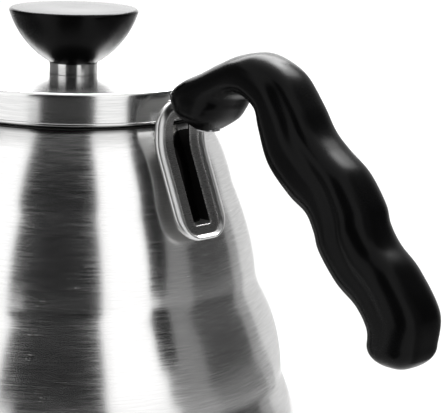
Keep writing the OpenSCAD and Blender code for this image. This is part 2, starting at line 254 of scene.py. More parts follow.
def paintedShadeBehindSlot(paint, place):
    # 1 on the body behind the bracket's slot, where it is painted dark: painted shade in the hollow behind
    # the bracket
    x, y, z = (paint.along(place, axis) for axis in "XYZ")
    aside = paint.node("ShaderNodeMath", {"operation": "ABSOLUTE"}, {0: y})
    narrow = 1 - paint.between(aside, *slotPaintedShade["aside"])
    return narrow * paint.between(x, *slotPaintedShade["fromX"]) * paint.between(z, *slotPaintedShade["fromZ"])


brushing = {             # the same for every brushed piece; a noise is (scale, detail, roughness)
    "fine": (1.0, 4.0, 0.65), "coarse": (1.0, 2.0), "cloud": (38.0, 2.0), "coarseArc": 0.4,
    "coarseLines": 0.22, "fineShare": 0.92, "coarseShare": 0.08, "darkFrom": 0.3, "lightFrom": 0.72,
    "cloudRough": 0.05, "depth": 0.00003}


def brushedSteel(name, look):
    # steel brushed round the axis; look["share"] is 1 where the lines also ring a flat top, and
    # look["paintedShades"] are painted shade, (from height, to height, how much is left) over which the
    # colour darkens: the seam and the shoulder
    paint = newPaint(name)
    arc, lines, share = look["arc"], look["lines"], look["share"]
    fine = paint.noise(roundAxis(paint, arc, lines, share), *brushing["fine"])
    wider = roundAxis(paint, arc * brushing["coarseArc"], lines * brushing["coarseLines"], share)
    coarse = paint.noise(wider, *brushing["coarse"])
    place = paint.objectPlace()
    cloud = paint.noise(place, *brushing["cloud"])
    grain = fine * brushing["fineShare"] + coarse * brushing["coarseShare"]
    light = paint.between(grain, brushing["darkFrom"], brushing["lightFrom"])
    colour = paint.mixed(light, tinted(look["colour"], look["depth"]), look["colour"])
    z = paint.along(place, "Z")
    # painted shade: the colour fades towards black between each pair of heights
    for start, end, left in look["paintedShades"]:
        colour = paint.mixed(paint.between(z, start, end, 0.0, 1.0 - left), colour, (0, 0, 0, 1))
    # painted shade on the body behind the bracket's slot
    if look["slot"]:
        colour = paint.mixed(paintedShadeBehindSlot(paint, place), colour, paintedShadeLook["colour"])
    rough = look["rough"] + (grain - 0.5) * look["spread"] + (cloud - 0.5) * brushing["cloudRough"]
    return paint.finish({
        "Base Color": colour, "Metallic": 1.0, "Roughness": rough,
        "Normal": paint.relief(fine, look["bump"], brushing["depth"]),
        "Anisotropic": look["stretch"], "Anisotropic Rotation": look["turn"]})


polish = {               # the same for every piece that is only pressed and polished
    "stretch": (900.0, 260.0, 2600.0), "scratches": (1.0, 3.0, 0.6), "cloud": (90.0, 2.0),
    "waves": (170.0, 1.0), "tint": 0.9, "darkFrom": 0.3, "lightFrom": 0.7, "scratchShare": 0.1,
    "depth": 0.00006}


def polishedSteel(name, look):
    paint = newPaint(name)
    place = paint.objectPlace()
    scratch = paint.noise(paint.stretched(place, polish["stretch"]), *polish["scratches"])
    cloud = paint.noise(place, *polish["cloud"])
    light = paint.between(cloud, polish["darkFrom"], polish["lightFrom"])
    colour = paint.mixed(light, tinted(look["colour"], polish["tint"]), look["colour"])
    rough = look["rough"] + (scratch - 0.5) * look["spread"]
    height = paint.noise(place, *polish["waves"]) + scratch * polish["scratchShare"]
    return paint.finish({
        "Base Color": colour, "Metallic": 1.0, "Roughness": rough,
        "Normal": paint.relief(height, look["bump"], polish["depth"])})


moulding = {
    "grain": (2600.0, 2.0, 0.6), "rubbed": (45.0, 3.0), "tint": 1.9, "darkFrom": 0.35,
    "lightFrom": 0.75, "rubbedRough": 0.12, "grainRough": 0.08, "depth": 0.00003}


def mouldedBlack(name, look):
    # satin phenolic: fine moulded grain, a little rubbed where fingers lie
    paint = newPaint(name)
    place = paint.objectPlace()
    grain = paint.noise(place, *moulding["grain"])
    rubbed = paint.noise(place, *moulding["rubbed"])
    pale = paint.between(rubbed, moulding["darkFrom"], moulding["lightFrom"])
    colour = paint.mixed(pale, look["colour"], tinted(look["colour"], moulding["tint"]))
    worn = (rubbed - 0.5) * moulding["rubbedRough"]
    rough = look["rough"] + worn + (grain - 0.5) * moulding["grainRough"]
    return paint.finish({
        "Base Color": colour, "Roughness": rough, "Specular IOR Level": look["gloss"],
        "Normal": paint.relief(grain, look["bump"], moulding["depth"])})


marking = {"marks": (700.0, 3.0, 0.6), "tint": 0.82, "rough": 0.14}


def plainMetal(name, look):
    paint = newPaint(name)
    marks = paint.noise(paint.objectPlace(), *marking["marks"])
    colour = paint.mixed(marks, tinted(look["colour"], marking["tint"]), look["colour"])
    rough = look["rough"] + (marks - 0.5) * marking["rough"]
    return paint.finish({"Base Color": colour, "Metallic": 1.0, "Roughness": rough})


# painted shade: a near-black steel laid on the seam faces under the lid and on the bracket's slot walls,
# and mixed into the body behind the slot, where shade falls
paintedShadeLook = {"colour": (0.07, 0.068, 0.066, 1), "rough": 0.5}
# painted shade on the body: under the lid's seam, on the shoulder and behind the bracket's slot
bodySteel = {
    "colour": (0.93, 0.927, 0.923, 1), "depth": 0.86, "rough": 0.22, "spread": 0.25, "bump": 0.03,
    "stretch": 0.7, "turn": 0.25, "arc": 7.0, "lines": 3000.0, "share": 0.0, "slot": True,
    "paintedShades": ((0.11, 0.1158, 0.66), (0.1152, 0.1166, 0.2))}
# painted shade on the lid: the hem darkens towards its foot
lidSteel = {
    "colour": (0.83, 0.83, 0.825, 1), "depth": 0.85, "rough": 0.21, "spread": 0.12, "bump": 0.04,
    "stretch": 0.6, "turn": 0.25, "arc": 5.0, "lines": 3000.0, "share": 1.0, "slot": False,
    "paintedShades": ((0.1183, 0.1175, 0.25),)}
spoutSteel = {
    "colour": (0.88, 0.875, 0.87, 1), "depth": 0.84, "rough": 0.24, "spread": 0.12, "bump": 0.2,
    "stretch": 0.0, "turn": 0.0, "arc": 9.0, "lines": 2200.0, "share": 0.0, "slot": False, "paintedShades": ()}
trimSteel = {"colour": (0.7, 0.7, 0.695, 1), "rough": 0.18, "spread": 0.08, "bump": 0.2}
pressedSteel = {"colour": (0.8, 0.8, 0.795, 1), "rough": 0.34, "spread": 0.1, "bump": 0.14}
# painted shade: the bracket's pressed steel coloured darker on the panel inside the bead, standing for a
# dark reflection
panelShadeSteel = {"colour": (0.5, 0.495, 0.49, 1), "rough": 0.28, "spread": 0.12, "bump": 0.2}
blackLook = {"colour": (0.0012, 0.0012, 0.0013, 1), "rough": 0.25, "bump": 0.1, "gloss": 0.1}
fastenerLook = {"colour": (0.62, 0.62, 0.63, 1), "rough": 0.3}
brassLook = {"colour": (0.72, 0.55, 0.25, 1), "rough": 0.35}
spreaderLook = {"colour": (0.72, 0.72, 0.74, 1), "rough": 0.4}

paints = {
    "brushed_body": brushedSteel("bodyBrushedSteel", bodySteel),
    "brushed_lid": brushedSteel("lidBrushedSteel", lidSteel),
    "spout_steel": brushedSteel("spoutSatinSteel", spoutSteel),
    "polished_trim": polishedSteel("trimPolishedSteel", trimSteel),
    "black_moulding": mouldedBlack("blackMoulding", blackLook),
    "fastener_steel": plainMetal("fastenerSteel", fastenerLook),
    "insert_brass": plainMetal("insertBrass", brassLook),
    "spreader": plainMetal("spreaderAluminium", spreaderLook),
}
bracketPaint = polishedSteel("bracketPressedSteel", pressedSteel)
panelShadePaint = polishedSteel("bracketPanelShade", panelShadeSteel)
# painted shade material for the hollows by the seam and the slot
paintedShadePaint = plainMetal("paintedShadeSteel", paintedShadeLook)
print("materials built")


def place(piece, body, slot, *stoodFor, finish=None):
    # the piece takes its finish from a slot of the record, rides on a body and stands for CAD nodes
    piece.data.materials.clear()
    piece.data.materials.append(finish or paints[slot])
    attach(piece, body)
    if stoodFor:
        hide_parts(*stoodFor)
    return piece


# body: four tiers between soft creases; the lip is (back from the outside, above the top)

body = {
    "top": 116.2, "bottom": 4.5, "wall": 0.8, "bellyZ": 14.5, "bellyR": 72.0,
    "heights": (116.2, 95.5, 66.5, 35.0, 14.5), "radii": (41.0, 49.5, 57.0, 65.75, 72.0),
    "swells": (0.9, 1.4, 2.0, 0.9), "softness": 1.7, "topFade": 4.0, "lowFade": 8.0, "reach": 4,
    "pitch": 0.75, "cornerSteps": 12, "hole": (-8.0, 26.0), "holeTight": 0.5,
    "lip": ((0.7, 0.42), (0.2, 0.4), (0.06, 0.32), (0.0, 0.18))}


def tierRadius(z):
    heights, radii = body["heights"], body["radii"]
    lowest = len(heights) - 2
    k = next((k for k in range(lowest) if z >= heights[k + 1]), lowest)
    if z < body["bellyZ"]:
        corner = body["bellyZ"] - body["bottom"]
        return body["bellyR"] - corner + math.sqrt(max(0.0, corner ** 2 - (body["bellyZ"] - z) ** 2))
    t = (heights[k] - z) / (heights[k] - heights[k + 1])
    return radii[k] + (radii[k + 1] - radii[k]) * t + 4 * body["swells"][k] * t * (1 - t)


def bodyRadius(z):
    # the tiers with their creases softened; the ends keep their places
    reach = body["reach"]
    fromTop, fromLow = body["top"] - z, max(0.0, z - body["bottom"])
    soft = body["softness"] * min(1.0, fromTop / body["topFade"], fromLow / body["lowFade"])
    weights = [(k, math.exp(-k * k / reach)) for k in range(-reach, reach + 1)]
    total = sum(w for _, w in weights)
    return sum(tierRadius(z + k * soft / 2) * w for k, w in weights) / total


def buildBody():
    rows = round((body["top"] - body["bellyZ"]) / body["pitch"])
    heights = [body["top"] - (body["top"] - body["bellyZ"]) * k / rows for k in range(rows + 1)]
    corner = body["bellyZ"] - body["bottom"]
    side = [(body["radii"][0] - back, body["top"] + rise) for back, rise in body["lip"]]
    for inward in (0, body["wall"]):
        wall = [(bodyRadius(z) - inward, z) for z in heights]
        for k in range(1, body["cornerSteps"] + 1):
            turn = math.radians(90 * k / body["cornerSteps"])
            reach = corner - inward
            wall.append((
                body["bellyR"] - corner + reach * math.cos(turn),
                body["bellyZ"] - reach * math.sin(turn)))
        wall.append((0, body["bottom"] + inward))
        side += wall if inward == 0 else reversed(wall)
    shell = turned("bodyShell", side, fineSides)
    start, end = (spoutPoint(s) for s in body["hole"])
    bore = spout["rootR"] - spout["wall"] - body["holeTight"]
    cutAway(shell, [rod(start, end, bore, spout["sides"])])
    return place(shell, "kettle", "brushed_body", "body_shell", "body_floor")


# spout: a tube in two bends with a small rolled lip

spout = {
    "rootX": 57.19, "rootZ": 37.0, "rootR": 16.0, "tipR": 5.0, "wall": 0.9, "straight": 14.0,
    "lowBend": 30.0, "neck": 34.0, "highBend": 30.0, "tip": 8.6, "tilts": (15.0, 84.0, 8.0),
    "thinning": 2.6, "sides": 64, "stations": 88, "lip": 0.42, "lipL": 1.6, "lipSteps": 8, "drawn": 14.0,
    "short": 0.001, "fitGap": 0.02, "searchFrom": -20.0, "searchPast": 6.0, "halvings": 40}


def spoutLength():
    low, mid, high = spout["tilts"]
    arcs = math.radians(mid - low) * spout["lowBend"] + math.radians(mid - high) * spout["highBend"]
    return spout["straight"] + arcs + spout["neck"] + spout["tip"]


def spoutFrame(s):
    # place (out, up) and tilt at a distance along the spout
    out, up, tilt = spout["rootX"], spout["rootZ"], math.radians(spout["tilts"][0])
    low, mid, high = (math.radians(t) for t in spout["tilts"])
    stretches = (
        (spout["straight"], 0), (abs(mid - low) * spout["lowBend"], spout["lowBend"]),
        (spout["neck"], 0), (abs(mid - high) * spout["highBend"], -spout["highBend"]),
        (spout["tip"], 0))
    for k, (length, bend) in enumerate(stretches):
        step = s if k == len(stretches) - 1 else min(s, length)
        if bend == 0 or s < 0:
            out += step * math.cos(tilt)
            up += step * math.sin(tilt)
        else:
            bent = tilt + step / bend
            out += bend * (math.sin(bent) - math.sin(tilt))
            up += bend * (math.cos(tilt) - math.cos(bent))
            tilt = bent
        s -= step
        if s <= 0:
            break
    return out, up, tilt


def spoutPoint(s, radius=0.0, turn=0.0):
    out, up, tilt = spoutFrame(s)
    rise = radius * math.cos(turn)
    x = -(out - rise * math.sin(tilt))
    return Vector((x, radius * math.sin(turn), up + rise * math.cos(tilt)))


def rootPoint(s, radius, turn):
    # the same on the straight root, which also runs back into the body
    axis, rise = math.radians(spout["tilts"][0]), radius * math.cos(turn)
    out = spout["rootX"] + s * math.cos(axis) - rise * math.sin(axis)
    z = spout["rootZ"] + s * math.sin(axis) + rise * math.cos(axis)
    return Vector((-out, radius * math.sin(turn), z))


def spoutRadius(s):
    t = max(0.0, s - spout["straight"]) / (spoutLength() - spout["straight"])
    return spout["tipR"] + (spout["rootR"] - spout["tipR"]) * (1 - t) ** spout["thinning"]


def meetsBody(radius, turn, above):
    # distance along the spout's straight root at which a line beside its axis leaves the body
    low, high = spout["searchFrom"], spout["straight"] + spout["searchPast"]
    axis, rise = math.radians(spout["tilts"][0]), radius * math.cos(turn)
    for _ in range(spout["halvings"]):
        middle = (low + high) / 2
        out = spout["rootX"] + middle * math.cos(axis) - rise * math.sin(axis)
        z = spout["rootZ"] + middle * math.sin(axis) + rise * math.cos(axis)
        if math.hypot(out, radius * math.sin(turn)) < bodyRadius(z) + above:
            low = middle
        else:
            high = middle
    return (low + high) / 2


def spoutRing(s, inward):
    # the root's rings are drawn together so that the first one follows the body
    ring = []
    for k in range(spout["sides"]):
        turn = math.tau * k / spout["sides"]
        radius = spoutRadius(s) - inward
        at = s
        if s < spout["straight"]:
            start = meetsBody(radius, turn, spout["fitGap"])
            at = start + (spout["straight"] - start) * s / spout["straight"]
        ring.append(rootPoint(at, radius, turn) if at < 0 else spoutPoint(at, radius, turn))
    return ring


def buildSpout():
    length, lip, lipL = spoutLength(), spout["lip"], spout["lipL"]
    count, lipSteps = spout["stations"], spout["lipSteps"]
    stations = [(length - lipL) * k / count for k in range(count + 1)]
    rings = []
    for s in stations:               # drawn in a little before the lip
        t = max(0.0, 1 - (length - lipL - s) / spout["drawn"])
        rings.append(spoutRing(s, lip * t * t * (3 - 2 * t)))
    for k in range(1, lipSteps + 1):     # the lip bulges out and rolls over the edge
        bulge = lip * math.sin(math.pi * k / lipSteps) - (spout["wall"] if k == lipSteps else 0)
        at = length - lipL * (1 - k / lipSteps) - spout["short"]
        rings.append(spoutRing(at, lip - bulge))
    rings += [spoutRing(s, spout["wall"]) for s in reversed(stations)]
    tube = swept("spoutTube", rings, True)
    return place(tube, "kettle", "spout_steel", "spout_neck")


flange = {               # the side is (out from the spout, above the body)
    "side": ((0, 0.02), (0, 1.2), (0.63, 1.05), (1.575, 1.0), (2.8, 0.8), (3.36, 0.45), (3.5, 0.02)),
    "sides": 96, "gap": 0.03, "sharp": 50}


def buildFlange():
    root = spout["rootR"] + flange["gap"]
    rings = []
    for k in range(flange["sides"]):
        turn = math.tau * k / flange["sides"]
        rings.append([
            rootPoint(meetsBody(root + across, turn, above), root + across, turn)
            for across, above in flange["side"]])
    weld = swept("spoutFlange", rings, True, flange["sharp"])
    return place(weld, "kettle", "spout_steel", "spout_collar")


mouthRing = {
    "inner": 37.0, "outer": 40.2, "top": 117.0, "low": 116.22, "sheet": 0.8, "throat": 6.0, "soft": 0.3,
    "nook": 0.2, "brim": 0.1, "roll": 1.2, "shadedFrom": 39.4}   # painted shade on the outer faces at the seam under the lid


def buildMouthRing():
    ring = mouthRing
    low, inner, outer, soft = ring["top"] - ring["throat"], ring["inner"], ring["outer"], ring["soft"]
    outside = inner + ring["sheet"]
    side = rounded([
        (inner, low, soft), (outside, low, soft), (outside, ring["low"], ring["nook"]),
        (outer, ring["low"], ring["brim"]), (outer, ring["top"], soft),
        (inner, ring["top"], ring["roll"])])
    rolled = turned("mouthRing", side, fineSides)
    place(rolled, "kettle", "polished_trim", "mouth_ring", finish=paints["brushed_lid"])
    # painted shade: faces beyond shadedFrom get the near-black shade steel
    rolled.data.materials.append(paintedShadePaint)
    for face in rolled.data.polygons:
        if math.hypot(face.center.x, face.center.y) > ring["shadedFrom"] * mm:
            face.material_index = 1
    return rolled


# base cap with two pressed rings underneath

base = {
    "radius": 58.0, "height": 4.48, "edge": 0.8, "topEdge": 0.3, "rings": (20.0, 40.0), "groove": 0.35,
    "grooveW": 2.4, "grooveSteps": 6, "flatFrom": 45.0}


def buildBase():
    low = [(0, 0)]
    for radius in base["rings"]:
        for k in range(base["grooveSteps"] + 1):
            t = k / base["grooveSteps"]
            depth = base["groove"] * math.sin(math.pi * t) ** 2
            low.append((radius + base["grooveW"] * (t - 0.5), depth))
    corner = rounded([
        (base["flatFrom"], 0, 0), (base["radius"], 0, base["edge"]),
        (base["radius"], base["height"], base["topEdge"]), (base["rings"][-1], base["height"], 0)])
    cap = turned("baseCap", low + corner + [(0, base["height"])])
    return place(cap, "kettle", "brushed_body", "base_cap")


# bracket: a rounded rim round a flat panel, with a slot whose walls turn back to the body;
# outlines are (width, low, high, corner radius below, corner radius above)

bracket = {
    "frontX": 47.6, "kneeZ": 112.0, "footZ": 86.0, "topZ": 125.0, "footX": 58.9, "kneeSoft": 3.0,
    "outer": (19.4, 86.0, 125.0, 7.0, 8.0), "inner": (12.8, 87.5, 121.7, 3.7, 4.7),
    "slot": (6.6, 90.0, 119.7, 0.6, 1.4), "back": 2.2, "backShare": 0.2, "slotWall": 0.9,
    "bodyGap": 0.1, "shallow": 1.8, "openAbove": 0.5, "shadeFrom": 0.6, "shadeDepth": 1.3, "touch": 0.05,
    "sharp": 50, "tongueW": 9.0, "tongueL": 15.0, "sheet": 1.2, "tongueEdge": 0.3, "tongueGap": 0.02,
    "rim": (             # (share of the way from outer to inner outline, depth behind the front face)
        (0.04, 2.2), (0.0, 1.8), (0.0, 1.3), (0.012, 1.06), (0.05, 0.86), (0.13, 0.65), (0.22, 0.46),
        (0.31, 0.29), (0.4, 0.15), (0.48, 0.05), (0.55, 0.0), (0.61, 0.01), (0.67, 0.09), (0.73, 0.25),
        (0.79, 0.48), (0.85, 0.71), (0.9, 0.86), (0.95, 0.96), (1.0, 1.0)),
    "panel": (           # the same from the inner outline to the slot
        (0.3, 1.0), (0.6, 1.0), (0.9, 1.0), (0.96, 1.03), (0.99, 1.12), (1.0, 1.3), (1.0, 1.5))}


def plateX(z):
    # the front face: upright above the knee, leaning out below it
    lean = (bracket["footX"] - bracket["frontX"]) / (bracket["kneeZ"] - bracket["footZ"])
    soft = bracket["kneeSoft"]
    below = bracket["kneeZ"] - z
    if below <= -soft:
        return bracket["frontX"]
    if below >= soft:
        return bracket["frontX"] + lean * below
    return bracket["frontX"] + lean * (below + soft) ** 2 / (4 * soft)


def plateOutline(wide, low, high, lowR, highR, across=6, along=26, corner=16):
    # points (y, z) round the outline, as many on each stretch whatever its size
    half = wide / 2
    centres = (
        (half - highR, high - highR, highR, 0), (highR - half, high - highR, highR, 90),
        (lowR - half, low + lowR, lowR, 180), (half - lowR, low + lowR, lowR, 270))
    outline = []
    for i, (cy, cz, radius, start) in enumerate(centres):
        for k in range(corner + 1):
            turn = math.radians(start + 90 * k / corner)
            outline.append(Vector((cy + radius * math.cos(turn), cz + radius * math.sin(turn))))
        ny, nz, nextR, nextStart = centres[(i + 1) % 4]
        turn = math.radians(nextStart)
        end = Vector((ny + nextR * math.cos(turn), nz + nextR * math.sin(turn)))
        count = across if i % 2 == 0 else along
        begin = outline[-1]
        outline += [begin.lerp(end, k / count) for k in range(1, count)]
    return outline


def blendedOutline(first, second, share):
    sizes = [a + (b - a) * share for a, b in zip(bracket[first], bracket[second])]
    return plateOutline(*sizes)


def behindPlate(p, depth):
    # a point (y, z) of an outline, that far behind the front face
    return Vector((plateX(p.y) - depth, p.x, p.y))


def slotDepth(p):
    # how far the slot's wall runs back behind the front face
    if p.y > body["top"] - bracket["openAbove"]:
        return bracket["shallow"]
    surface = math.sqrt(bodyRadius(p.y) ** 2 - p.x * p.x) + bracket["bodyGap"]
    return max(bracket["shallow"], plateX(p.y) - surface)


def buildBracket():
    rim, panel, back = bracket["rim"], bracket["panel"], bracket["back"]
    layers = [[behindPlate(p, depth) for p in blendedOutline("outer", "inner", share)]
              for share, depth in rim]
    layers += [[behindPlate(p, depth) for p in blendedOutline("inner", "slot", share)]
               for share, depth in panel]
    slot = plateOutline(*bracket["slot"])
    thick, panelEnd = bracket["slotWall"], panel[-1][1]
    wide, low, high, lowR, highR = bracket["slot"]
    outside = plateOutline(wide + 2 * thick, low - thick, high + thick, lowR + thick, highR + thick)
    for share in (0.5, 1.0):         # the slot's wall turns back to the body
        layers.append([behindPlate(p, panelEnd + (slotDepth(p) - panelEnd) * share) for p in slot])
    for share in (1.0, 0.5, 0.0):
        layers.append([behindPlate(q, back + max(0.0, slotDepth(q) - back) * share) for q in outside])
    layers.append([behindPlate(p, back) for p in blendedOutline("inner", "slot", bracket["backShare"])])
    plate = swept("bracketPlate", layers, True, bracket["sharp"])
    half, topZ = bracket["tongueW"] / 2, bracket["topZ"]
    under, over, edge = topZ - bracket["sheet"], topZ - bracket["tongueGap"], bracket["tongueEdge"]
    section = rounded([
        (-half, under, edge), (half, under, edge), (half, over, edge), (-half, over, edge)], 3)
    tongue = swept("bracketTongue", [
        [Vector((x, y, z)) for y, z in section]
        for x in (bracket["frontX"] - bracket["back"], bracket["frontX"] + bracket["tongueL"])])
    place(tongue, "kettle", "polished_trim", finish=bracketPaint)
    place(plate, "kettle", "polished_trim", "handle_bracket", finish=bracketPaint)
    plate.data.materials.append(paintedShadePaint)
    plate.data.materials.append(panelShadePaint)
    panelRows = range(len(rim) - 3, len(rim) + len(panel) - 2)   # inside the bead, to the slot
    for face in plate.data.polygons:
        x, y, z = face.center / mm
        # painted shade on the panel
        if face.index // len(slot) in panelRows:
            face.material_index = 2
        # painted shade: the slot's walls behind the front face get the near-black shade steel
        behind = x < plateX(z) - bracket["shadeDepth"]
        beside = abs(y) < wide / 2 + bracket["touch"]
        if behind and beside and low + bracket["shadeFrom"] < z < high + bracket["touch"]:
            face.material_index = 1
    return plate


# grip: outer and inner edge (x, z, x, z) and share of the width at each section, from the screw's
# axis and the mouth; squareAt and grooveAt are (section, value)

grip = {
    "holeX": 57.0, "mouthZ": 117.0, "width": 19.3, "squareness": 2.5, "steps": 9, "sides": 144,
    "squareAt": ((2, 3.0), (4, 2.8), (6, 2.4), (8, 2.3), (10, 2.7), (12, 2.9), (21, 2.7)),
    "pullIn": 0.975, "tipRound": 6.2, "tipLean": 0.14,
    "tipTurns": range(8, 89, 8), "noseX": 47.64, "noseTop": 125.02, "recess": (112.0, 120.9, 4.0),
    "groove": 0.75, "grooveW": 0.1, "grooveFrom": 7.4, "grooveTo": 18.7, "fadeIn": 2.0, "fadeOut": 1.5,
    "rows": (
        (-2.5, 1.2, 3, 0.8, 0.4), (-7.3, 4.9, 7.5, 4, 0.9), (-9.8, 8.2, 10.4, 7.4, 1),
        (-10.2, 11.3, 12, 9.8, 1), (-5.6, 14.8, 13, 11.2, 1), (1.4, 18, 14.2, 12, 1),
        (8.4, 21.6, 15.6, 12.6, 1), (15.2, 24.4, 17.4, 12.6, 1), (22.2, 25, 20, 11.6, 1),
        (31.6, 21, 23.4, 8.8, 1), (38.8, 13, 24.2, 4.2, 1), (43.3, 6.7, 28, -5, 1),
        (47.9, 2.6, 36, -12.5, 1), (55.3, -2.7, 42.3, -16.4, 1), (61.6, -10.6, 45, -20.7, 1),
        (63.6, -15.8, 47.2, -25.8, 1), (67, -20.4, 54, -33.4, 1), (73.6, -26, 61, -38.2, 1),
        (81.4, -36.8, 64.5, -42.8, 1), (81.2, -46.5, 64.7, -46.6, 0.97)),
    "grooveAt": ((7, 0.8), (10, 0.78), (12, 0.73), (14, 0.6), (16, 0.52), (18, 0.48), (20, 0.5))}


def through(a, b, c, d, t):
    # a smooth curve through four values, between b and c
    square, cube = 2 * a - 5 * b + 4 * c - d, 3 * b - a - 3 * c + d
    return (2 * b + ((c - a) + (square + cube * t) * t) * t) / 2


def gripRow(at):
    rows = grip["rows"]
    i = min(int(at), len(rows) - 2)
    picks = [rows[max(0, min(len(rows) - 1, i + k))] for k in (-1, 0, 1, 2)]
    return [through(*(p[j] for p in picks), at - i) for j in range(5)]


def alongStops(stops, at):
    for (a, low), (b, high) in zip(stops, stops[1:]):
        if at <= b:
            return low + (high - low) * max(0.0, at - a) / (b - a)
    return stops[-1][1]


def rounder(v, squareness):
    return math.copysign(abs(v) ** (2 / squareness), v)


def gripRing(at):
    row = gripRow(at)
    start, end = max(0.0, at - grip["grooveFrom"]), max(0.0, grip["grooveTo"] - at)
    fade = min(1.0, start / grip["fadeIn"], end / grip["fadeOut"])
    outerSquareness, grooveShare = alongStops(grip["squareAt"], at), alongStops(grip["grooveAt"], at)
    ring = []
    for k in range(grip["sides"]):
        turn = math.tau * k / grip["sides"]
        squareness = outerSquareness if math.cos(turn) > 0 else grip["squareness"]
        share = (1 + rounder(math.cos(turn), squareness)) / 2 * grip["pullIn"]
        y = rounder(math.sin(turn), squareness) * row[4] * grip["width"] / 2
        dip = math.exp(-((share - grooveShare) / grip["grooveW"]) ** 2) * fade * grip["groove"]
        y -= math.copysign(min(dip, abs(y)), y)
        x = grip["holeX"] + row[2] + (row[0] - row[2]) * share
        z = grip["mouthZ"] + row[3] + (row[1] - row[3]) * share
        if z < grip["noseTop"]:
            x = max(x, grip["noseX"])
        ring.append(Vector((x, y, z)))
    return ring


def buildGrip():
    count = (len(grip["rows"]) - 1) * grip["steps"]
    rings = [gripRing(k / grip["steps"]) for k in range(count + 1)]
    middle, before = (sum(rings[k], Vector()) / grip["sides"] for k in (-1, -4))
    onward = (middle - before).normalized() + Vector((grip["tipLean"], 0, 0))
    for turn in grip["tipTurns"]:    # round the tip off
        angle = math.radians(turn)
        ahead = onward * math.sin(angle) * grip["tipRound"]
        rings.append([middle + (p - middle) * math.cos(angle) + ahead for p in rings[count]])
    handle = swept("gripMoulding", rings)
    low, high, radius = grip["recess"]
    cutAway(handle, [rod((grip["holeX"], 0, low), (grip["holeX"], 0, high), radius)])
    return place(handle, "kettle", "black_moulding", "handle_grip")


# lid cover, stem and knob

lid = {
    "radius": 41.0, "low": 117.4, "edge": 127.0, "rise": 0.2, "corner": 1.0, "sheet": 0.8,
    "flatSteps": 24, "cornerSteps": 10, "shoulder": 2.2, "tuck": 3.4, "smooth": 0.02, "fold": 0.6,
    "hem": 0.55, "hemProud": 0.12, "hemUp": 2.2, "hemSteps": 8, "hemTurns": (70, -90),
    "ventAt": 26.0, "ventR": 1.2, "ventTurn": 138, "ventGap": 12, "ventReach": 3.0,
    "ventSides": 32}


def buildLid():
    radius, low, edge, hem = lid["radius"], lid["low"], lid["edge"], lid["hem"]
    corner, sheet, fold = lid["corner"], lid["sheet"], lid["fold"]
    flat, flatSteps, cornerSteps = radius - corner, lid["flatSteps"], lid["cornerSteps"]
    side = [(flat * k / flatSteps, edge + lid["rise"] * (1 - (k / flatSteps) ** 2))
            for k in range(flatSteps)]
    for k in range(cornerSteps + 1):
        turn = math.radians(90 - 90 * k / cornerSteps)
        side.append((flat + corner * math.cos(turn), edge - corner + corner * math.sin(turn)))
    skirt = radius - lid["hemProud"]
    side += [(radius - lid["smooth"], edge - lid["shoulder"]), (skirt, edge - lid["tuck"]),
             (skirt, low + lid["hemUp"] * hem)]
    hemTop, hemEnd = lid["hemTurns"]
    for k in range(lid["hemSteps"] + 1):     # the rolled hem
        turn = math.radians(hemTop + (hemEnd - hemTop) * k / lid["hemSteps"])
        side.append((radius - hem + hem * math.cos(turn), low + hem + hem * math.sin(turn)))
    inner = radius - sheet
    side += [(inner, low), (inner, edge - sheet - fold), (inner - fold, edge - sheet), (0, edge - sheet)]
    cover = turned("lidCover", side, fineSides)
    holes, reach, ventR, ventSides = [], lid["ventReach"], lid["ventR"], lid["ventSides"]
    for k in (-1, 0, 1):
        turn = math.radians(lid["ventTurn"] + k * lid["ventGap"])
        x, y = lid["ventAt"] * math.cos(turn), lid["ventAt"] * math.sin(turn)
        holes.append(rod((x, y, edge - reach), (x, y, edge + reach), ventR, ventSides))
    cutAway(cover, holes)
    return place(cover, "lid", "brushed_lid", "lid_cover")


knob = {
    "low": 130.6, "top": 146.8, "footR": 7.5, "rimR": 19.3, "swell": 1.8, "edge": 0.9, "steps": 32,
    "edgeSteps": 10, "footEdgeR": 7.15, "footUp": 0.12, "dish": ((11.58, 0.02), (0, 0.04)),
    "stemR": 7.45, "stemLow": 127.22, "stemHigh": 130.58, "stemEdge": 0.12, "stemSides": 128}


def buildKnob():
    foot = Vector((knob["footR"], knob["low"]))
    rim = Vector((knob["rimR"], knob["top"] - knob["edge"]))
    along = rim - foot
    across = Vector((along.y, -along.x)).normalized()
    low, top, edge, steps = knob["low"], knob["top"], knob["edge"], knob["steps"]
    side = [(0, low), (knob["footEdgeR"], low)]
    for k in range(steps + 1):
        t = k / steps
        p = foot + along * t + across * 4 * knob["swell"] * t * (1 - t)
        side.append((p.x, max(p.y, low + knob["footUp"])))
    for k in range(1, knob["edgeSteps"] + 1):
        turn = math.radians(90 * k / knob["edgeSteps"])
        side.append((knob["rimR"] - edge * (1 - math.cos(turn)), top - edge * (1 - math.sin(turn))))
    side += [(radius, top - depth) for radius, depth in knob["dish"]]
    bowl = turned("knobBowl", side)
    place(bowl, "lid", "black_moulding", "knob")
    stemLow, stemHigh, stemR, stemEdge = (
        knob[name] for name in ("stemLow", "stemHigh", "stemR", "stemEdge"))
    side = rounded([
        (0, stemLow, 0), (stemR, stemLow, stemEdge), (stemR, stemHigh, stemEdge), (0, stemHigh, 0)])
    stem = turned("knobStem", side, knob["stemSides"])
    return place(stem, "lid", "polished_trim", "knob_stem")


buildBody()
buildMouthRing()
print("body built")
buildSpout()
buildFlange()
print("spout built")
buildBase()
buildBracket()
buildGrip()
print("bracket and grip built")
buildLid()
buildKnob()
print("lid and knob built")


# CAD nodes that stay

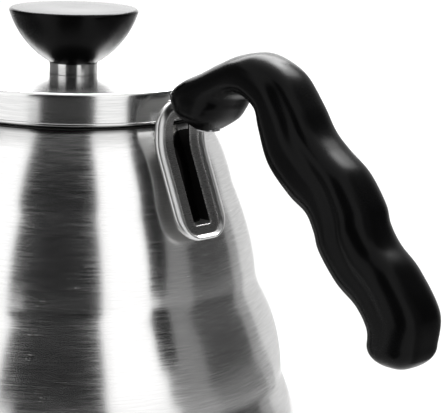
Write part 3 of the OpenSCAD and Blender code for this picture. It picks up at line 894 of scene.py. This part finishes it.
cadEdge = {"width": 0.12, "segments": 2, "fromAngle": 50}
slots = {part["node"]: part["material_slot"] for part in frame["record"]["subparts"]}
for name, node in nodes.items():
    if node.hide_render:
        continue
    node.data.materials.clear()
    node.data.materials.append(paints[slots[name]])
    bevel = node.modifiers.new("edge", "BEVEL")
    bevel.width = cadEdge["width"] * mm
    bevel.segments = cadEdge["segments"]
    bevel.limit_method = "ANGLE"
    bevel.angle_limit = math.radians(cadEdge["fromAngle"])
    node.modifiers.new("shading", "WEIGHTED_NORMAL")
print("frame nodes painted")


# studio: white surroundings, dark and light cards that only reflections see, lamps and a pale floor

studio = {
    # cards: from, to (degrees round the axis, 0 at -Y and 90 at +X), level, height, floor level
    "cards": (
        (12, 21, 0.012, 1.6, 1.0), (21, 66, 0.012, 1.6, 0.05), (66, 99, 1.25, 1.7, 1.1),
        (100, 124, 0.22, 1.0, 0.3), (124, 161, 0.06, 1.2, 0.18), (161, 172, 0.3, 1.2, 0.4),
        (172, 200, 0.65, 1.0, 0.7), (262, 335, 0.15, 1.2, 0.3), (335, 372, 1.25, 1.7, 1.1)),
    "cardR": 0.95, "cardNear": 0.15, "cardLift": 0.8, "cardSteps": 24,
    "floorSize": 6.0, "floorColour": (0.85, 0.85, 0.85, 1), "floorLift": 0.2,
    "lamps": (           # azimuth, elevation, distance, width, height, radiance, seen by matt surfaces
        (228, 16, 1.15, 1.7, 0.6, 1.35, True), (228, 45, 1.2, 1.2, 0.5, 9.5, False),
        (184, 50, 1.2, 0.5, 0.35, 9.0, False)),
    "aimZ": 0.08}


def around(azimuth, elevation, distance):
    a, e = math.radians(azimuth), math.radians(elevation)
    return Vector((math.sin(a) * math.cos(e), -math.cos(a) * math.cos(e), math.sin(e))) * distance


def glowing(name, level):
    paint = newPaint(name)
    colour = (level, level, level, 1)
    light = paint.node("ShaderNodeEmission", {}, {"Color": colour, "Strength": 1.0})
    paint.node("ShaderNodeOutputMaterial", {}, {"Surface": light})
    return paint.owner


def buildCards():
    # each card is a sector of floor (even faces) and a wall behind it (odd faces)
    rows, lift = studio["cardSteps"], studio["cardLift"]
    for number, (start, end, level, height, floorLevel) in enumerate(studio["cards"]):
        points, faces = [], []
        for k in range(rows + 1):
            turn = start + (end - start) * k / rows
            near, far = (around(turn, 0, studio[name]) / mm for name in ("cardNear", "cardR"))
            points += [(near.x, near.y, lift), (far.x, far.y, lift), (far.x, far.y, height / mm)]
            if k:
                a, b = 3 * k - 3, 3 * k
                faces += [(a, b, b + 1, a + 1), (a + 1, b + 1, b + 2, a + 2)]
        card = addMesh(f"card{number}", points, faces)
        card.data.materials.append(glowing(f"cardFloor{number}", floorLevel))
        card.data.materials.append(glowing(f"cardFelt{number}", level))
        for k, face in enumerate(card.data.polygons):
            face.material_index = k % 2
        card.visible_camera = False
        card.visible_shadow = False
        card.visible_diffuse = False


def buildFloor():
    half = studio["floorSize"] / 2 / mm
    corners = [(-half, -half, 0), (half, -half, 0), (half, half, 0), (-half, half, 0)]
    floor = addMesh("floor", corners, [(0, 1, 2, 3)])
    paint = newPaint("floorPaper")
    seen = paint.node("ShaderNodeLightPath", {}, {}, "Is Camera Ray")
    for ray in ("Is Glossy Ray", "Is Transmission Ray"):
        seen = seen + paint.node("ShaderNodeLightPath", {}, {}, ray)
    paper = paint.node("ShaderNodeBsdfDiffuse", {}, {"Color": studio["floorColour"]})
    lift = paint.node("ShaderNodeEmission", {}, {"Strength": seen * studio["floorLift"]})
    both = paint.node("ShaderNodeAddShader", {}, {0: paper, 1: lift})
    paint.node("ShaderNodeOutputMaterial", {}, {"Surface": both})
    floor.data.materials.append(paint.owner)


def buildWorld():
    world = bpy.data.worlds.new("studioAir")
    bpy.context.scene.world = world
    paint = Paint(world)
    air = paint.node("ShaderNodeBackground", {}, {"Color": (1, 1, 1, 1), "Strength": 1.0})
    paint.node("ShaderNodeOutputWorld", {}, {"Surface": air})


def addLamps():
    for number, lampLook in enumerate(studio["lamps"]):
        azimuth, elevation, distance, width, height, radiance, matt = lampLook
        light = bpy.data.lights.new(f"softBox{number}", "AREA")
        light.shape = "RECTANGLE"
        light.size = width
        light.size_y = height
        light.energy = radiance * math.pi * width * height
        lamp = bpy.data.objects.new(f"softBox{number}", light)
        bpy.context.scene.collection.objects.link(lamp)
        spot = around(azimuth, elevation, distance)
        lamp.location = spot + Vector((0, 0, studio["aimZ"]))
        lamp.rotation_euler = (-spot).to_track_quat("-Z", "Y").to_euler()
        lamp.visible_camera = False
        lamp.visible_diffuse = matt


camera = {
    "place": (0.43298, -0.38986, 0.2112), "heading": 43.488, "down": 12.052, "roll": 1.6176,
    "lens": 157.82, "sensor": 36, "clip": 0.01}


def addCamera():
    lens = bpy.data.cameras.new("camera")
    lens.lens = camera["lens"]
    lens.sensor_width = camera["sensor"]
    lens.clip_start = camera["clip"]
    eye = bpy.data.objects.new("camera", lens)
    bpy.context.scene.collection.objects.link(eye)
    pitch, heading = math.radians(90 - camera["down"]), math.radians(camera["heading"])
    level = Euler((pitch, 0, heading)).to_matrix().to_4x4()
    tilt = Matrix.Rotation(math.radians(camera["roll"]), 4, "Z")
    eye.matrix_world = Matrix.Translation(camera["place"]) @ level @ tilt
    bpy.context.scene.camera = eye


buildCards()
buildFloor()
buildWorld()
addLamps()
addCamera()
bpy.context.scene.view_settings.view_transform = "Standard"
print("studio built")
